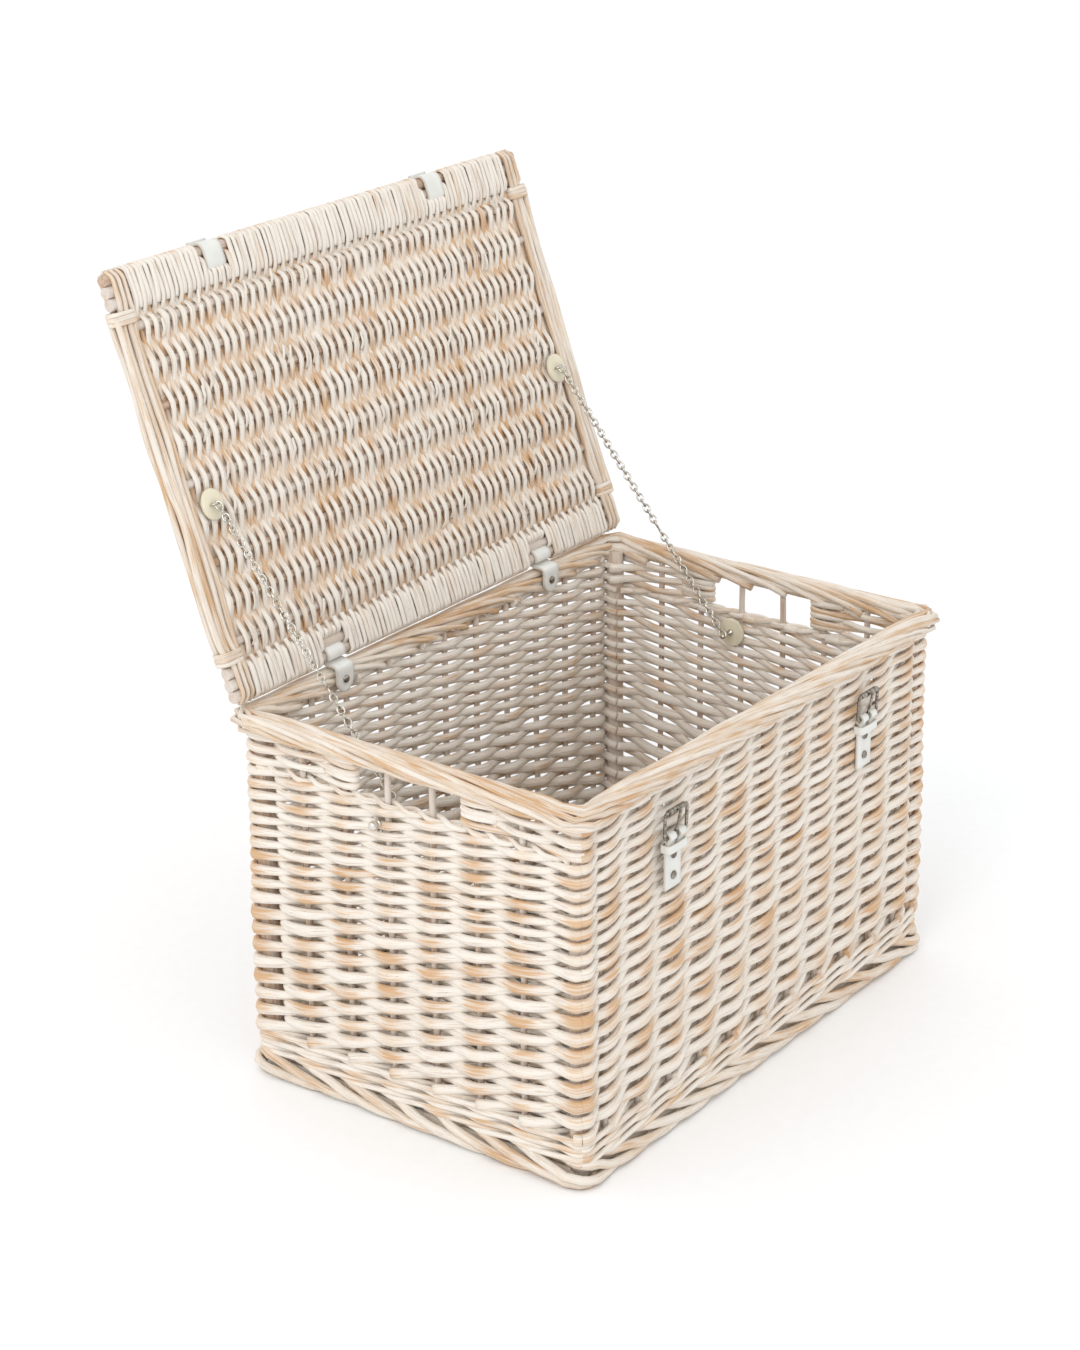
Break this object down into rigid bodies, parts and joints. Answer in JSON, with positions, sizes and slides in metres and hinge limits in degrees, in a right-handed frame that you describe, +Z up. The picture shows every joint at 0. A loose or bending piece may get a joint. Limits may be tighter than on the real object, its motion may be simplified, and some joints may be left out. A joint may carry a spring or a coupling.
{
  "type": "wicker storage trunk",
  "caption": "Rectangular woven willow trunk with hand holes in its ends, a lid on leather hinges with chain stays, and leather closing straps with roller buckles.",
  "frame": {"origin": "middle of the underside, on the surface that the trunk stands on", "axes": "+X to the right along the long front, +Y from the front to the hinge side, +Z up"},
  "size_m": [0.6, 0.539, 0.7535],
  "materials": {
    "willow": "whitewashed buff willow, satin, rubbed back on the high spots",
    "willow_border": "whitewashed buff willow rods, thicker and paler, satin",
    "willow_stake": "willow sticks, satin, little wash",
    "white_leather": "smooth white leather, semi-matt, cut edges",
    "cream_leather": "cream leather washers, matt",
    "nickel": "bright nickel plate"
  },
  "bodies": {
    "basket": {"base_panel": "willow", "base_sticks": "willow_stake", "foot_front": "willow_border", "foot_rear": "willow_border", "foot_left": "willow_border", "foot_right": "willow_border", "wale_front": "willow_border", "wale_rear": "willow_border", "wale_left": "willow_border", "wale_right": "willow_border", "wall_front": "willow", "wall_rear": "willow", "wall_left": "willow", "wall_right": "willow", "rim_front": "willow_border", "rim_rear": "willow_border", "rim_left": "willow_border", "rim_right": "willow_border", "corner_posts": "willow_stake", "side_stakes": "willow_stake", "handle_stakes": "willow_stake", "hinge_strap_left": "white_leather", "hinge_strap_right": "white_leather", "hinge_rivets": "nickel", "buckle_strap_left": "white_leather", "buckle_strap_right": "white_leather", "strap_keeper_left": "white_leather", "strap_keeper_right": "white_leather", "buckle_rivets": "nickel", "wall_washer_left": "cream_leather", "wall_washer_right": "cream_leather", "stay_bolt_left": "nickel", "stay_bolt_right": "nickel"},
    "lid": {"lid_panel": "willow", "lid_sticks": "willow_stake", "lid_front_sticks": "willow_stake", "lid_rear_sticks": "willow_stake", "lid_end_left": "willow_border", "lid_end_right": "willow_border", "lid_bindings": "willow_border", "lid_washer_left": "cream_leather", "lid_washer_right": "cream_leather", "stay_hook_left": "nickel", "stay_hook_right": "nickel", "lid_loop_left": "white_leather", "lid_loop_right": "white_leather", "lid_loop_rivets": "nickel"},
    "chain_lower_left": {"chain_lower_left": "nickel"},
    "chain_upper_left": {"chain_upper_left": "nickel"},
    "lid_strap_left": {"lid_strap_left": "white_leather"},
    "buckle_frame_left": {"buckle_frame_left": "nickel"},
    "buckle_roller_left": {"buckle_roller_left": "nickel"},
    "buckle_prong_left": {"buckle_prong_left": "nickel"},
    "chain_lower_right": {"chain_lower_right": "nickel"},
    "chain_upper_right": {"chain_upper_right": "nickel"},
    "lid_strap_right": {"lid_strap_right": "white_leather"},
    "buckle_frame_right": {"buckle_frame_right": "nickel"},
    "buckle_roller_right": {"buckle_roller_right": "nickel"},
    "buckle_prong_right": {"buckle_prong_right": "nickel"}
  },
  "joints": [
    {"name": "lid_hinge", "type": "hinge", "parent": "basket", "child": "lid", "pos_m": [0, 0.19, 0.38], "axis": [1, 0, 0], "range_deg": [0, 110]},
    {"name": "chain_lower_left_swing", "type": "hinge", "parent": "basket", "child": "chain_lower_left", "pos_m": [-0.2597, 0.03, 0.298], "axis": [1, 0, 0], "range_deg": [-141.35, 0]},
    {"name": "chain_upper_left_swing", "type": "hinge", "parent": "lid", "child": "chain_upper_left", "pos_m": [-0.2597, 0.2317, 0.54573], "axis": [1, 0, 0], "range_deg": [-71.35, 0]},
    {"name": "lid_strap_left_fold", "type": "hinge", "parent": "lid", "child": "lid_strap_left", "pos_m": [-0.161, 0.33442, 0.74858], "axis": [1, 0, 0], "range_deg": [0, 238.5]},
    {"name": "buckle_left_swing", "type": "hinge", "parent": "basket", "child": "buckle_frame_left", "pos_m": [-0.161, -0.19625, 0.3], "axis": [1, 0, 0], "range_deg": [-2, 70]},
    {"name": "roller_left_spin", "type": "hinge", "parent": "buckle_frame_left", "child": "buckle_roller_left", "pos_m": [-0.161, -0.19709, 0.32399], "axis": [1, 0, 0], "continuous": true},
    {"name": "prong_left_swing", "type": "hinge", "parent": "buckle_frame_left", "child": "buckle_prong_left", "pos_m": [-0.161, -0.19625, 0.3], "axis": [1, 0, 0], "range_deg": [0, 20]},
    {"name": "chain_lower_right_swing", "type": "hinge", "parent": "basket", "child": "chain_lower_right", "pos_m": [0.2597, 0.03, 0.298], "axis": [1, 0, 0], "range_deg": [-141.35, 0]},
    {"name": "chain_upper_right_swing", "type": "hinge", "parent": "lid", "child": "chain_upper_right", "pos_m": [0.2597, 0.2317, 0.54573], "axis": [1, 0, 0], "range_deg": [-71.35, 0]},
    {"name": "lid_strap_right_fold", "type": "hinge", "parent": "lid", "child": "lid_strap_right", "pos_m": [0.161, 0.33442, 0.74858], "axis": [1, 0, 0], "range_deg": [0, 238.5]},
    {"name": "buckle_right_swing", "type": "hinge", "parent": "basket", "child": "buckle_frame_right", "pos_m": [0.161, -0.19625, 0.3], "axis": [1, 0, 0], "range_deg": [-2, 70]},
    {"name": "roller_right_spin", "type": "hinge", "parent": "buckle_frame_right", "child": "buckle_roller_right", "pos_m": [0.161, -0.19709, 0.32399], "axis": [1, 0, 0], "continuous": true},
    {"name": "prong_right_swing", "type": "hinge", "parent": "buckle_frame_right", "child": "buckle_prong_right", "pos_m": [0.161, -0.19625, 0.3], "axis": [1, 0, 0], "range_deg": [0, 20]}
  ],
  "couplings": [
    {"joint": "chain_lower_left_swing", "follows": "lid_hinge", "ratio": -1.2804},
    {"joint": "chain_upper_left_swing", "follows": "lid_hinge", "ratio": -0.64407},
    {"joint": "lid_strap_left_fold", "follows": "lid_hinge", "ratio": 2.1636},
    {"joint": "chain_lower_right_swing", "follows": "lid_hinge", "ratio": -1.2804},
    {"joint": "chain_upper_right_swing", "follows": "lid_hinge", "ratio": -0.64407},
    {"joint": "lid_strap_right_fold", "follows": "lid_hinge", "ratio": 2.1636}
  ]
}
